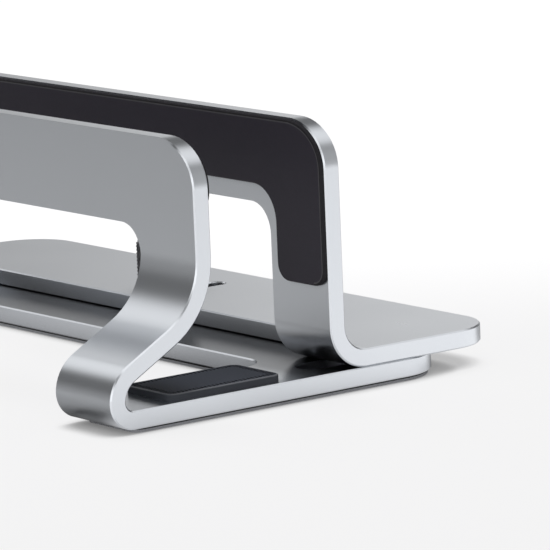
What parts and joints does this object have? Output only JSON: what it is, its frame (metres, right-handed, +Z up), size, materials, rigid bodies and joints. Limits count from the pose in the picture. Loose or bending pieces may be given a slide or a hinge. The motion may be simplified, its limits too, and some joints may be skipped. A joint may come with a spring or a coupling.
{
  "type": "vertical laptop stand",
  "caption": "Desk stand that holds a closed laptop upright between two padded aluminium uprights; the rear one slides on its foot and is clamped by a knurled knob.",
  "frame": {"origin": "middle of the stand's underside, with the rear bracket slid all the way back", "axes": "+X along the stand, +Y from the front upright to the rear one, +Z up"},
  "size_m": [0.18, 0.1068, 0.0594],
  "materials": {
    "bracket_metal": "fine satin anodised, bright chamfered edges",
    "pad_rubber": "matt",
    "rest_rubber": "matt, fine grain",
    "sole_rubber": "matt",
    "knob_metal": "dark anodised, knurled",
    "steel": "plated"
  },
  "bodies": {
    "base": {"base_bracket": "bracket_metal", "front_pad": "pad_rubber", "base_pad_right": "rest_rubber", "base_pad_left": "rest_rubber", "sole": "sole_rubber"},
    "slider": {"rear_bracket": "bracket_metal", "rear_pad": "pad_rubber", "guide_screw_right": "steel", "guide_screw_left": "steel"},
    "clamp": {"clamp_knob": "knob_metal", "clamp_stud": "steel", "clamp_washer": "steel"}
  },
  "joints": [
    {"name": "width_slide", "type": "slide", "parent": "base", "child": "slider", "axis": [0, -1, 0], "range_m": [0, 0.014]},
    {"name": "knob_turn", "type": "hinge", "parent": "base", "child": "clamp", "pos_m": [0, 0.02702, 0.02], "axis": [0, 0, 1], "continuous": true}
  ]
}
